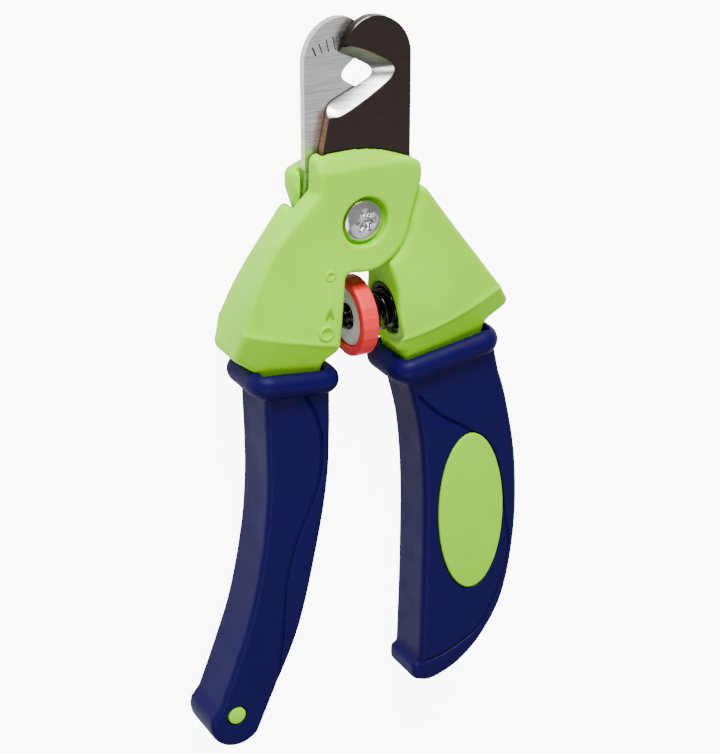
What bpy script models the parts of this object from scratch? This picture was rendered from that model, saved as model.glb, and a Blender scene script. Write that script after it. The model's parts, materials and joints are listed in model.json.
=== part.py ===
"""Pet nail trimmer: two crossed halves on one pivot, notched blades, an adjusting wheel and sprung handles.

The tool lies on its back: X to the right, Y towards the blades, Z up through the pivot. All sizes are in
millimetres from the pivot axis at the plane where the blades meet, and become metres when a mesh is made.
"""

import math

import bmesh
import bpy
from mathutils import Matrix, Vector

MM = 0.001
GAP = 0.3

# Blades
BLADE_THICKNESS = 2.0
BLADE_FACE = GAP / 2
BLADE_MID_X = 0.35
BLADE_EDGE_X = 12.8
BLADE_TOP_Y = 43.4
BLADE_TOP_RADIUS = 9.2
BLADE_TIP_RADIUS = 7.4
NOTCH_EDGE = ((-3.5, 36.2, 0), (6.6, 31.0, 2.1), (-6.1, 25.1, 0))
NOTCH_GROUND = ((-3.1, 38.0, 0), (10.9, 31.4, 1.6), (-7.0, 22.6, 0))
TANG_END = (-15.5, -12.0)
TANG_RADIUS = 4.0
TANG_PINS = ((-11.7, -8.6), (-15.9, -12.3))
PIN_RADIUS = 1.2
PIN_ENDS = (-3.0, 4.6)

# Green frames
HEAD_DEPTH = 5.7
RIDGE_DEPTH = 8.0
NECK_DEPTH = 6.2
FRAME_EDGE = 1.5
LOBE_RADIUS = 11.3
HEAD_CLEARANCE = 0.45
WALL_X = 7.4
LEFT_RIDGE = (-17.4, -27.3)
RIGHT_RIDGE = (16.5, -29.6)
RIDGE_TO_NECK = 5.4
CORE_DEPTH = 4.0
CORE_INSET = 2.7
LEFT_CORE_TOP = -31.5
RIGHT_CORE_TOP = -33.5

# Rubber grips
GRIP_DEPTH = 6.5
GRIP_EDGE = 2.2
COLLAR_DEPTH = 9.1
COLLAR_BEAD = 2.3
LEFT_COLLAR = {"centre": (-17.6, -33.6), "half": (11.1, 2.9), "tilt": -7.0}
RIGHT_COLLAR = {"centre": (20.4, -35.5), "half": (14.1, 3.1), "tilt": 8.0}
BADGE_CENTRE = (28.0, -77.3)
BADGE_HALF = (8.8, 20.7)
BADGE_TILT = 2.9
PLUG_CENTRE = (-34.0, -113.8)
PLUG_RADIUS = 2.1

# Pivot
SCREW_RADIUS = 2.0
SCREW_HEAD_RADIUS = 4.6
SCREW_HEAD_RIM = 4.5
SCREW_DOME = 0.9
SCREW_TIP = -5.2
SOCKET_RADIUS = 1.9
SOCKET_DEPTH = 0.4
BUSHING_RADIUS = 3.2
BUSHING_SHORT = 0.05
WASHER_RADIUS = 5.0
WASHER_DEPTHS = (-4.1, -3.7)
NUT_DEPTHS = (-5.6, -4.4)
RECESS_RADIUS = 5.5
RECESS_FLOOR = 3.4

# Adjuster
ADJUSTER_Y = -23.5
STUD_RADIUS = 2.6
STUD_LEFT = -13.6
STUD_SHOULDER = 2.6
STUD_TIP = 6.5
PILOT_RADIUS = 1.35
INSERT_RADIUS = 3.9
INSERT_ENDS = (-14.6, -7.9)
WHEEL_RADIUS = 9.0
WHEEL_LEFT = -2.3
WHEEL_RIGHT = 1.7
WHEEL_CLEARANCE = 0.45
WHEEL_TRAVEL_ROOM = 4.0
WHEEL_BEVEL = 0.5
DISC_RADIUS = 6.5
DISC_ENDS = (WHEEL_LEFT + 0.6, WHEEL_RIGHT - 0.3)
SEAT_RADIUS = 5.0
SPRING_RADIUS = 4.1
SPRING_WIRE = 0.5
SPRING_TURNS = 4.5
SPRING_START = 3.0
BUSH_FLOOR = 14.0
BUSH_RADIUS = 5.8
BUSH_WALL = 0.8
CLOSING_ANGLE = 12.8

ARC_STEP = 15.0


# ---------------------------------------------------------------- outlines

def arc(centre, radius, start, end, step=ARC_STEP):
    """Points along a circular arc, from one angle to another in degrees."""
    count = max(2, math.ceil(abs(end - start) / step))
    angles = [math.radians(start + (end - start) * i / count) for i in range(count + 1)]
    return [(centre[0] + radius * math.cos(a), centre[1] + radius * math.sin(a)) for a in angles]


def rounded(corners, step=ARC_STEP, steps=None):
    """A closed outline through corners (x, y, radius), each corner turned into an arc."""
    points = []
    for i, (x, y, radius) in enumerate(corners):
        here = Vector((x, y))
        back = (Vector(corners[i - 1][:2]) - here).normalized()
        ahead = (Vector(corners[(i + 1) % len(corners)][:2]) - here).normalized()
        opening = back.angle(ahead)
        if radius <= 0 or opening > math.radians(179):
            points.append((x, y))
            continue
        reach = radius / math.tan(opening / 2)
        centre = here + (back + ahead).normalized() * (radius / math.sin(opening / 2))
        first = here + back * reach - centre
        turn = math.pi - opening
        side = 1 if back.x * ahead.y - back.y * ahead.x < 0 else -1
        count = steps or max(1, math.ceil(math.degrees(turn) / step))
        for k in range(count + 1):
            angle = side * turn * k / count
            c, s = math.cos(angle), math.sin(angle)
            points.append((centre.x + first.x * c - first.y * s, centre.y + first.x * s + first.y * c))
    return points


def smooth(points, count=3):
    """Points along a Catmull-Rom curve through the given ones."""
    ends = [points[0]] + list(points) + [points[-1]]
    out = []
    for p0, p1, p2, p3 in zip(ends, ends[1:], ends[2:], ends[3:]):
        for k in range(count):
            t = k / count
            out.append(tuple(
                0.5 * (2 * b + (c - a) * t + (2 * a - 5 * b + 4 * c - d) * t * t
                       + (3 * b - a - 3 * c + d) * t ** 3)
                for a, b, c, d in zip(p0, p1, p2, p3)))
    return out + [points[-1]]


def inset(outline, distance):
    """The outline moved inwards; it runs anticlockwise."""
    moved = []
    for i, (x, y) in enumerate(outline):
        before, after = outline[i - 1], outline[(i + 1) % len(outline)]
        first = Vector((before[1] - y, x - before[0])).normalized()
        second = Vector((y - after[1], after[0] - x)).normalized()
        mitre = (first + second) / max(0.4, 1 + first.dot(second))
        moved.append((x + mitre.x * distance, y + mitre.y * distance))
    return moved


def mirrored(outline, about=0.0):
    """The outline turned over left to right, still anticlockwise."""
    return [(2 * about - x, y) for x, y in reversed(outline)]


def turned(point, degrees, centre=(0.0, 0.0)):
    c, s = math.cos(math.radians(degrees)), math.sin(math.radians(degrees))
    x, y = point[0] - centre[0], point[1] - centre[1]
    return (centre[0] + x * c - y * s, centre[1] + x * s + y * c)


def plain(points):
    """Points as sharp corners."""
    return [(x, y, 0) for x, y in points]


# ---------------------------------------------------------------- solids

def loft(loops):
    """A closed solid through loops of equally many (x, y, z) points, capped at both ends."""
    bm = bmesh.new()
    rings = [[bm.verts.new(p) for p in loop] for loop in loops]
    for lower, upper in zip(rings, rings[1:]):
        for i in range(len(lower)):
            bm.faces.new((lower[i - 1], lower[i], upper[i], upper[i - 1]))
    bm.faces.new(list(reversed(rings[0])))
    bm.faces.new(rings[-1])
    bmesh.ops.recalc_face_normals(bm, faces=bm.faces)
    return bm


def prism(outline, low, high):
    return loft([[(x, y, z) for x, y in outline] for z in (low, high)])


def soft_prism(outline, low, high, edge, segments=2):
    """A prism whose upper and lower edges are rounded."""
    loops = []
    for k in range(segments + 1):
        angle = math.pi / 2 * k / segments
        inside = inset(outline, edge * (1 - math.sin(angle)))
        loops.append([(x, y, low + edge * (1 - math.cos(angle))) for x, y in inside])
    upper = [[(x, y, high + low - z) for x, y, z in loop] for loop in reversed(loops)]
    return loft(loops + upper)


def turned_solid(profile, segments=24):
    """A solid turned about X from (x, radius) pairs; a zero radius closes an end."""
    bm = bmesh.new()
    rings = []
    for x, radius in profile:
        if radius == 0:
            rings.append([bm.verts.new((x, 0, 0))])
            continue
        angles = [2 * math.pi * k / segments for k in range(segments)]
        rings.append([bm.verts.new((x, radius * math.cos(a), radius * math.sin(a))) for a in angles])
    closed = rings[0] if len(rings[0]) > 1 else None
    pairs = list(zip(rings, rings[1:])) + ([(rings[-1], rings[0])] if closed else [])
    for lower, upper in pairs:
        for i in range(segments):
            quad = [lower[i - 1] if len(lower) > 1 else lower[0], lower[i] if len(lower) > 1 else None,
                    upper[i] if len(upper) > 1 else upper[0], upper[i - 1] if len(upper) > 1 else None]
            bm.faces.new([v for v in quad if v is not None])
    bmesh.ops.recalc_face_normals(bm, faces=bm.faces)
    return bm


def upright(bm):
    """Turns a solid from the X axis to the Z axis."""
    bmesh.ops.rotate(bm, verts=bm.verts, matrix=Matrix.Rotation(-math.pi / 2, 3, "Y"))
    return bm


def moved(bm, x=0.0, y=0.0, z=0.0):
    bmesh.ops.translate(bm, verts=bm.verts, vec=(x, y, z))
    return bm


def tube(low, high, outer, inner, segments=24):
    return turned_solid([(low, outer), (high, outer), (high, inner), (low, inner)], segments)


def rod(low, high, radius, segments=20):
    return turned_solid([(low, 0), (low, radius), (high, radius), (high, 0)], segments)


def add_material(obj, colour, roughness, metallic):
    material = bpy.data.materials.new(obj.name)
    material.use_nodes = True
    shader = material.node_tree.nodes["Principled BSDF"]
    shader.inputs["Base Color"].default_value = (*colour, 1.0)
    shader.inputs["Roughness"].default_value = roughness
    shader.inputs["Metallic"].default_value = metallic
    obj.data.materials.append(material)


def add_object(name, bm, parent, look=None):
    """Makes an object from a bmesh in millimetres, and from then on in metres."""
    bmesh.ops.scale(bm, verts=bm.verts, vec=(MM, MM, MM))
    mesh = bpy.data.meshes.new(name)
    bm.to_mesh(mesh)
    bm.free()
    mesh.shade_smooth()
    mesh.set_sharp_from_angle(angle=math.radians(32))
    obj = bpy.data.objects.new(name, mesh)
    bpy.context.scene.collection.objects.link(obj)
    obj.parent = parent
    if look:
        add_material(obj, *look)
    return obj


def boolean(obj, operation, bm):
    """Joins a helper solid to an object, or cuts it away."""
    helper = add_object(f"{obj.name}_{operation.lower()}_{len(obj.modifiers)}", bm, obj.parent)
    helper.hide_render = True
    helper.display_type = "WIRE"
    modifier = obj.modifiers.new(helper.name, "BOOLEAN")
    modifier.operation = operation
    modifier.solver = "EXACT"
    modifier.object = helper


GREEN = ((0.40, 0.66, 0.09), 0.42, 0.0)
NAVY = ((0.006, 0.005, 0.085), 0.5, 0.0)
RED = ((0.75, 0.09, 0.07), 0.4, 0.0)
STEEL = ((0.62, 0.61, 0.6), 0.28, 1.0)
DARK_STEEL = ((0.05, 0.035, 0.03), 0.15, 1.0)
BLACK_STEEL = ((0.02, 0.02, 0.02), 0.35, 1.0)
BRASS = ((0.7, 0.5, 0.2), 0.3, 1.0)
BLACK_PLASTIC = ((0.015, 0.015, 0.016), 0.5, 0.0)


# ---------------------------------------------------------------- blades

def blade_outline(notch):
    """The front blade's outline; notch holds the tip, the notch bottom and the lower corner."""
    top = (BLADE_EDGE_X - BLADE_TOP_RADIUS, BLADE_TOP_Y - BLADE_TOP_RADIUS)
    crown = arc(top, BLADE_TOP_RADIUS, 0, 90)
    widths = arc((0, 0), 1, 90, 160)[1:]
    nose = [(top[0] + BLADE_TIP_RADIUS * x, top[1] + BLADE_TOP_RADIUS * y) for x, y in widths]
    tip, bottom, corner = notch
    notch_points = rounded([tip, bottom, corner, (-8.7, 14.5, 0)], steps=6)[:-1]
    notch_points = [p for p in notch_points if p[0] > corner[0] - 0.01]
    tang_turn = math.degrees(math.atan2(TANG_END[1], TANG_END[0]))
    tang = arc(TANG_END, TANG_RADIUS, tang_turn - 90, tang_turn + 90)
    heel = arc((0, 0), 9.6, -92, -20)
    return crown + nose + notch_points + [(-8.7, 14.5), (-9.6, 5.0)] + tang + heel + [(BLADE_EDGE_X, 5.5)]


def blade(side):
    """A blade for the front (side 1) or the rear (side -1), ground away on its outer face at the notch."""
    edge, ground = blade_outline(NOTCH_EDGE), blade_outline(NOTCH_GROUND)
    low, high = BLADE_FACE, BLADE_FACE + BLADE_THICKNESS
    if side < 0:
        edge, ground = mirrored(edge, BLADE_MID_X), mirrored(ground, BLADE_MID_X)
    return loft([[(x, y, side * low) for x, y in edge], [(x, y, side * high) for x, y in ground]])


def blade_slot(side):
    """The room for a blade and its tang inside a frame."""
    outline = blade_outline(NOTCH_EDGE)
    outline = inset([p for p in outline if p[1] < 15] + [(BLADE_EDGE_X, 20), (-8.4, 20)], -GAP)
    if side < 0:
        outline = mirrored(outline, BLADE_MID_X)
    depths = sorted((side * (BLADE_FACE - GAP), side * (BLADE_FACE + BLADE_THICKNESS + GAP)))
    return prism(outline, *depths)


def pin_places(side):
    return [(x if side > 0 else 2 * BLADE_MID_X - x, y) for x, y in TANG_PINS]


def pin(place, radius, side, longer=0.0):
    low, high = PIN_ENDS
    return moved(upright(rod(side * (low - longer), side * (high + longer), radius, 12)), *place)


def build_blades(root, moving):
    for name, side, parent, look in (("front_blade", 1, root, DARK_STEEL), ("rear_blade", -1, moving, STEEL)):
        obj = add_object(name, blade(side), parent, look)
        boolean(obj, "DIFFERENCE", upright(rod(-4, 4, BUSHING_RADIUS + GAP)))
        for i, place in enumerate(pin_places(side), 1):
            boolean(obj, "DIFFERENCE", pin(place, PIN_RADIUS + GAP, side))
            add_object(f"{name}_pin_{i}", pin(place, PIN_RADIUS, side), parent, STEEL)


# ---------------------------------------------------------------- frames

def head_side():
    """The front head from its lobe, up its right side and over the top to its left side."""
    lobe = [(x, y, 0) for x, y in arc((0, 0), LOBE_RADIUS, -104, -8)]
    crown = [(9.2, 13.1, 0), (5.3, 14.5, 0), (1.0, 15.5, 0), (-3.2, 15.9, 0)]
    return lobe + [(14.1, 7.6, 6.0), (13.9, 11.2, 1.8)] + crown + [(-10.9, 15.4, 1.7)]


def left_outline():
    flank = plain([(-23.2, -6.4), (-27.1, -12.7), (-29.9, -18.9)])
    body = [(-11.2, 7.8, 1.0), (-15.0, 5.2, 1.6)] + flank
    body += [(-32.0, -24.9, 1.8), (-25.6, -28.8, 1.6), (-25.2, -33.9, 1.6), (-10.8, -35.2, 1.6), (-10.6, -30.4, 1.6),
             (-7.5, -28.0, 1.6), (-4.7, -10.9, 1.4)]
    return rounded(body + head_side())


def right_outline():
    head = [(-x, y, r) for x, y, r in reversed(head_side())]
    body = [(5.9, -11.0, 1.4), (WALL_X, -17.0, 8.0), (WALL_X, -31.0, 1.6), (9.9, -32.8, 1.6),
            (10.1, -36.6, 1.6), (31.4, -36.4, 1.6), (31.4, -29.8, 2.4), (37.7, -26.3, 1.7), (15.4, 4.9, 1.6),
            (11.2, 7.9, 1.0)]
    return rounded(head + body)


def frame_depth(point, ridge):
    """Half the frame's depth at a place: thin at the head, deepest along the ridge, then in to the neck."""
    tilt, ridge_at = ridge
    along = point.y * math.cos(math.radians(tilt)) - point.x * math.sin(math.radians(tilt))
    if along > ridge_at:
        rise = min(1.0, along / ridge_at if along < 0 else 0.0)
        return HEAD_DEPTH + (RIDGE_DEPTH - HEAD_DEPTH) * rise
    fall = min(1.0, (ridge_at - along) / RIDGE_TO_NECK)
    return RIDGE_DEPTH + (NECK_DEPTH - RIDGE_DEPTH) * fall


def frame_body(outline, ridge):
    """A soft-edged plate in the outline, its depth following the ridge."""
    bm = soft_prism(outline, -RIDGE_DEPTH, RIDGE_DEPTH, FRAME_EDGE)
    tilt, ridge_at = ridge
    normal = Vector((-math.sin(math.radians(tilt)), math.cos(math.radians(tilt)), 0))
    for along in (0.0, ridge_at, ridge_at - RIDGE_TO_NECK):
        cut = bm.verts[:] + bm.edges[:] + bm.faces[:]
        bmesh.ops.bisect_plane(bm, geom=cut, dist=1e-5, plane_co=normal * along, plane_no=normal)
    for vert in bm.verts:
        vert.co.z *= frame_depth(vert.co, ridge) / RIDGE_DEPTH
    return bm


def left_grip_outline(top=-32.0, corner=2.6):
    outer = smooth([(-24.9, -41.0), (-24.7, -50.0), (-24.9, -60.0), (-26.2, -72.5), (-29.6, -88.5), (-34.2, -101.5),
                    (-38.0, -111.0)])
    tip = arc((-33.6, -115.5), 6.8, 162, 318)
    inner = smooth([(-24.4, -110.8), (-17.3, -94.5), (-12.0, -72.3), (-9.7, -58.0), (-9.2, -48.0), (-9.1, -41.0)])
    return rounded([(-25.0, top, corner)] + plain(outer + tip + inner) + [(-9.1, top, corner)])


def right_grip_outline(top=-34.0, corner=2.6):
    inner = smooth([(12.0, -44.5), (14.2, -54.6), (15.4, -70.6), (15.4, -92.3), (14.9, -112.0)])
    outer = smooth([(19.2, -121.1), (25.6, -118.7), (32.5, -112.6), (38.2, -102.0), (40.9, -84.5), (40.3, -66.0),
                    (37.4, -50.5), (35.0, -42.5)])
    bottom = [(14.7, -121.2, corner)]
    return rounded([(9.3, top, corner)] + plain(inner) + bottom + plain(outer) + [(33.2, top, corner)])


def core_outline(grip, top, inwards=CORE_INSET):
    """The bar inside a grip: the grip's outline moved in, from a lower top."""
    return inset(grip(top, CORE_INSET + 0.9), inwards)


def collar_outline(collar):
    (cx, cy), (hx, hy), tilt = collar["centre"], collar["half"], collar["tilt"]
    corners = [(cx - hx, cy - hy), (cx + hx, cy - hy), (cx + hx, cy + hy), (cx - hx, cy + hy)]
    return rounded([(*turned(c, tilt, (cx, cy)), COLLAR_BEAD) for c in corners], step=22.5)


def core_solid(grip, top, larger=0.0):
    outline = core_outline(grip, top, CORE_INSET - larger)
    return prism(outline, -CORE_DEPTH - larger, CORE_DEPTH + larger)


def far_head_room(side):
    """What a frame gives up to the other half's head, on the far side of the blades' plane."""
    sweep = arc((0, 0), LOBE_RADIUS + HEAD_CLEARANCE, -150, -9)
    outline = sweep + [(14.1 + HEAD_CLEARANCE, 7.6), (14.3, 30), (-40, 30), (-40, -5.9)]
    if side > 0:
        sweep = arc((0, 0), LOBE_RADIUS + HEAD_CLEARANCE, 189, 330)
        outline = sweep + [(40, -5.9), (40, 30), (-40, 30), (-40, 3.4), (-13.5, 3.4)]
    depths = sorted((-side * 20, side * (BLADE_FACE + 0.2)))
    return prism(outline, *depths)


def pivot_room(side):
    """The recess for the screw head or the nut, and the hole for the bushing."""
    floor = side * RECESS_FLOOR
    profile = [(0, 0), (0, BUSHING_RADIUS + GAP), (floor, BUSHING_RADIUS + GAP), (floor, RECESS_RADIUS),
               (side * 12, RECESS_RADIUS), (side * 12, 0)]
    return upright(turned_solid(profile))


def adjuster_bore(low, high, radius):
    return moved(turned_solid([(low, 0), (low, radius), (high, radius), (high, 0)]), y=ADJUSTER_Y)


def wheel_room(end):
    """The wheel's place and some room round it, as the right half meets it when the handles are squeezed."""
    wheel = adjuster_bore(WHEEL_LEFT - WHEEL_TRAVEL_ROOM, end, WHEEL_RADIUS + WHEEL_CLEARANCE)
    turn = Matrix.Rotation(math.radians(CLOSING_ANGLE), 3, "Z")
    bmesh.ops.rotate(wheel, verts=wheel.verts, matrix=turn)
    return wheel


def build_frame(name, side, outline, ridge, grip, core_top, parent):
    obj = add_object(name, frame_body(outline, ridge), parent, GREEN)
    boolean(obj, "UNION", core_solid(grip, core_top))
    boolean(obj, "DIFFERENCE", far_head_room(side))
    boolean(obj, "DIFFERENCE", blade_slot(side))
    boolean(obj, "DIFFERENCE", pivot_room(side))
    for place in pin_places(side):
        boolean(obj, "DIFFERENCE", pin(place, PIN_RADIUS + GAP, side, GAP))
    return obj


def build_left_frame(root):
    obj = build_frame("left_frame", 1, left_outline(), LEFT_RIDGE, left_grip_outline, LEFT_CORE_TOP, root)
    boolean(obj, "DIFFERENCE", adjuster_bore(INSERT_ENDS[0] - 0.4, 0.0, INSERT_RADIUS + GAP))
    boolean(obj, "DIFFERENCE", moved(upright(rod(-8, 8, PLUG_RADIUS + GAP)), *PLUG_CENTRE))


def build_right_frame(moving):
    obj = build_frame("right_frame", -1, right_outline(), RIGHT_RIDGE, right_grip_outline, RIGHT_CORE_TOP, moving)
    boolean(obj, "DIFFERENCE", adjuster_bore(0.0, BUSH_FLOOR + BUSH_WALL + GAP, BUSH_RADIUS + GAP))
    boolean(obj, "DIFFERENCE", wheel_room(WHEEL_RIGHT + WHEEL_CLEARANCE))


# ---------------------------------------------------------------- grips

def neck_room(outline, top, bottom):
    """The frame's neck where the collar goes round it."""
    neck = [p for p in outline if p[1] < -30.0]
    xs = [x for x, y in neck if y < -32.5]
    low = min(y for x, y in neck) - GAP
    corners = [(min(xs) - GAP, low, 0), (max(xs) + GAP, low, 0), (max(xs) + GAP, top, 0), (min(xs) - GAP, top, 0)]
    return soft_prism(rounded(corners), -bottom - GAP, bottom + GAP, 0.8, 1)


def build_grip(name, outline, collar, frame, core_top, parent, foot=None):
    obj = add_object(name, soft_prism(outline(), -GRIP_DEPTH, GRIP_DEPTH, GRIP_EDGE), parent, NAVY)
    boolean(obj, "UNION", soft_prism(collar_outline(collar), -COLLAR_DEPTH, COLLAR_DEPTH, COLLAR_BEAD - 0.2))
    if foot:
        boolean(obj, "UNION", soft_prism(rounded(foot), -GRIP_DEPTH + 0.2, GRIP_DEPTH - 0.2, 1.2))
    boolean(obj, "DIFFERENCE", neck_room(frame, -20.0, NECK_DEPTH))
    boolean(obj, "DIFFERENCE", core_solid(outline, core_top, GAP))
    return obj


def badge_outline(larger=0.0, count=32):
    (cx, cy), (hx, hy) = BADGE_CENTRE, BADGE_HALF
    angles = [2 * math.pi * k / count for k in range(count)]
    oval = [(cx + (hx + larger) * math.cos(a), cy + (hy + larger) * math.sin(a)) for a in angles]
    return [turned(p, BADGE_TILT, BADGE_CENTRE) for p in oval]


def build_left_grip(root):
    obj = build_grip("left_grip", left_grip_outline, LEFT_COLLAR, left_outline(), LEFT_CORE_TOP, root)
    boolean(obj, "DIFFERENCE", moved(upright(rod(-8, 8, PLUG_RADIUS + GAP)), *PLUG_CENTRE))
    plug = [(-6.6, 0), (-6.6, PLUG_RADIUS - 0.4), (-6.2, PLUG_RADIUS), (6.2, PLUG_RADIUS), (6.6, PLUG_RADIUS - 0.4),
            (6.6, 0)]
    add_object("handle_plug", moved(upright(turned_solid(plug, 24)), *PLUG_CENTRE), root, GREEN)


def build_right_grip(moving):
    foot = [(13.2, -115.3, 1.4), (13.2, -120.4, 1.8), (19.0, -120.6, 1.4), (19.0, -115.3, 1.4)]
    obj = build_grip("right_grip", right_grip_outline, RIGHT_COLLAR, right_outline(), RIGHT_CORE_TOP, moving, foot)
    boolean(obj, "DIFFERENCE", prism(badge_outline(GAP), -8, 8))
    for name, side in (("front_badge", 1), ("rear_badge", -1)):
        low, high = sorted((side * (CORE_DEPTH + GAP), side * (GRIP_DEPTH + 0.1)))
        add_object(name, soft_prism(badge_outline(), low, high, 0.4, 1), moving, GREEN)


# ---------------------------------------------------------------- pivot

def build_pivot(root):
    rim = SCREW_HEAD_RIM
    head = [(RECESS_FLOOR + GAP, SCREW_HEAD_RADIUS), (rim, SCREW_HEAD_RADIUS)]
    dome = [(rim + SCREW_DOME * math.sin(a), SCREW_HEAD_RADIUS * math.cos(a)) for a in (0.35, 0.7, 1.05, 1.35)]
    tip = [(SCREW_TIP, 0), (SCREW_TIP, SCREW_RADIUS), (RECESS_FLOOR + GAP, SCREW_RADIUS)]
    screw = add_object("pivot_screw", upright(turned_solid(tip + head + dome + [(rim + SCREW_DOME, 0)])), root, STEEL)
    boolean(screw, "DIFFERENCE", upright(rod(rim - SOCKET_DEPTH, rim + 2, SOCKET_RADIUS, 12)))
    reach = RECESS_FLOOR - BUSHING_SHORT
    add_object("pivot_bushing", upright(tube(-reach, reach, BUSHING_RADIUS, SCREW_RADIUS + GAP)), root, BRASS)
    inner = SCREW_RADIUS + GAP
    add_object("pivot_washer", upright(tube(*WASHER_DEPTHS, WASHER_RADIUS, inner)), root, STEEL)
    add_object("pivot_nut", upright(tube(*NUT_DEPTHS, SCREW_HEAD_RADIUS, inner, 6)), root, STEEL)


# ---------------------------------------------------------------- adjuster

def coil(radius, wire, turns, start, end, per_turn=16, sides=6):
    """A round-wire spring along X with flat-ended turns."""
    count = round(turns * per_turn)
    length = end - start - 2 * wire
    loops = []
    for i in range(count + 1):
        angle = 2 * math.pi * i / per_turn
        out = Vector((0, math.cos(angle), math.sin(angle)))
        centre = out * radius + Vector((start + wire + length * i / count, 0, 0))
        ring = [2 * math.pi * k / sides for k in range(sides)]
        loops.append([tuple(centre + out * wire * math.cos(a) + Vector((wire * math.sin(a), 0, 0))) for a in ring])
    return loft(loops)


def build_adjuster(root, axis, carriage):
    chamfer = 0.4
    stud = [(STUD_LEFT, 0), (STUD_LEFT, STUD_RADIUS), (STUD_SHOULDER, STUD_RADIUS),
            (STUD_SHOULDER + 2 * chamfer, PILOT_RADIUS), (STUD_TIP - chamfer, PILOT_RADIUS),
            (STUD_TIP, PILOT_RADIUS - chamfer), (STUD_TIP, 0)]
    add_object("adjuster_stud", turned_solid(stud, 24), axis, BLACK_STEEL)
    add_object("stud_insert", tube(*INSERT_ENDS, INSERT_RADIUS, STUD_RADIUS + GAP), axis, BRASS)
    add_object("wheel_disc", tube(*DISC_ENDS, DISC_RADIUS, STUD_RADIUS + GAP), carriage, STEEL)
    rim = WHEEL_RADIUS - WHEEL_BEVEL
    ring = [(WHEEL_LEFT, DISC_RADIUS + GAP), (WHEEL_LEFT, rim), (WHEEL_LEFT + WHEEL_BEVEL, WHEEL_RADIUS),
            (WHEEL_RIGHT - WHEEL_BEVEL, WHEEL_RADIUS), (WHEEL_RIGHT, rim), (WHEEL_RIGHT, DISC_RADIUS + GAP)]
    add_object("wheel_ring", turned_solid(ring, 36), carriage, RED)
    seat = tube(WHEEL_RIGHT + GAP, SPRING_START - GAP, SEAT_RADIUS, STUD_RADIUS + GAP)
    add_object("spring_seat", seat, carriage, STEEL)


def build_spring(moving):
    spring = coil(SPRING_RADIUS, SPRING_WIRE, SPRING_TURNS, SPRING_START, BUSH_FLOOR - GAP)
    add_object("return_spring", moved(spring, y=ADJUSTER_Y), moving, BLACK_STEEL)
    mouth, end, inner = WALL_X + 0.1, BUSH_FLOOR + BUSH_WALL, BUSH_RADIUS - BUSH_WALL
    profile = [(end, 0), (end, BUSH_RADIUS), (mouth, BUSH_RADIUS), (mouth, inner), (BUSH_FLOOR, inner),
               (BUSH_FLOOR, 0)]
    bush = add_object("spring_bush", moved(turned_solid(profile), y=ADJUSTER_Y), moving, BLACK_PLASTIC)
    boolean(bush, "DIFFERENCE", wheel_room(SPRING_START + 0.1))


# ---------------------------------------------------------------- assembly

def add_empty(name, place, parent=None):
    empty = bpy.data.objects.new(name, None)
    bpy.context.scene.collection.objects.link(empty)
    empty.location = [c * MM for c in place]
    empty.parent = parent
    return empty


def extents():
    """The lowest and highest corners of every solid, in metres."""
    bpy.context.view_layer.update()
    graph = bpy.context.evaluated_depsgraph_get()
    solids = [o.evaluated_get(graph) for o in bpy.data.objects if o.type == "MESH" and not o.hide_render]
    corners = [o.matrix_world @ Vector(c) for o in solids for c in o.bound_box]
    return [min(c[i] for c in corners) for i in range(3)], [max(c[i] for c in corners) for i in range(3)]


def main():
    for obj in list(bpy.data.objects):
        bpy.data.objects.remove(obj)
    assembly = add_empty("nail_trimmer", (0, 0, 0))
    root = add_empty("left_half", (0, 0, 0), assembly)
    moving = add_empty("pivot_axis", (0, 0, 0), assembly)
    axis = add_empty("adjuster_axis", (0, ADJUSTER_Y, 0), assembly)
    carriage = add_empty("wheel_axis", (0, 0, 0), axis)
    build_blades(root, moving)
    build_left_frame(root)
    build_right_frame(moving)
    build_left_grip(root)
    build_right_grip(moving)
    build_pivot(root)
    build_adjuster(root, axis, carriage)
    build_spring(moving)
    low, high = extents()
    assembly.location = (-(low[0] + high[0]) / 2, -(low[1] + high[1]) / 2, -low[2])


main()
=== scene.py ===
import json
import math

import bpy
import numpy as np
from mathutils import Matrix, Vector


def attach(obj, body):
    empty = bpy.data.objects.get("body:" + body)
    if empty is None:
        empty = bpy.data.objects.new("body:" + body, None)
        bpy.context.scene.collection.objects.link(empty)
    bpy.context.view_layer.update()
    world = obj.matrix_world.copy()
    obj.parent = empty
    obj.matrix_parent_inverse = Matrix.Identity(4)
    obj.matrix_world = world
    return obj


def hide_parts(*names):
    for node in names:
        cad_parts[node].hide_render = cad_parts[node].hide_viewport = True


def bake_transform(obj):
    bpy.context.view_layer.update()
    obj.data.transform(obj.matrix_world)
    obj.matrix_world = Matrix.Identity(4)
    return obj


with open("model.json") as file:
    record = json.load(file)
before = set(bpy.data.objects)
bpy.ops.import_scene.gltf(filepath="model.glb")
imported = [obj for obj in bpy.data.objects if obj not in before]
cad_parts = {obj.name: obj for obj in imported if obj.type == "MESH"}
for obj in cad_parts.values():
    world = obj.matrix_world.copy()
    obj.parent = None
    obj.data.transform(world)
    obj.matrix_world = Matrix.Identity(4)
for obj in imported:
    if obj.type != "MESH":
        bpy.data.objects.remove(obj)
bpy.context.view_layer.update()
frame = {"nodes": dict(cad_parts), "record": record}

# Sizes are in millimetres from the pivot axis at the plane where the blades meet.
# PIVOT is that point in the frame, in metres. Z points out of the tool's front.
MM = 0.001
PIVOT = Vector((-0.000322, 0.039435, 0.0091))

# Spacing of the points at which a moulded shape is sampled; FINE is for the grips.
GRID = 0.35
FINE = 0.27

# How often a surface point is moved onto the surface, and how far at most, in grid steps.
NET_REFINEMENTS = 2
NET_MOST_MOVE = 0.35

# Degrees between the points of an arc and of a rounded corner.
ARC_STEP = 5.0
CORNER_STEP = 10.0

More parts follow.
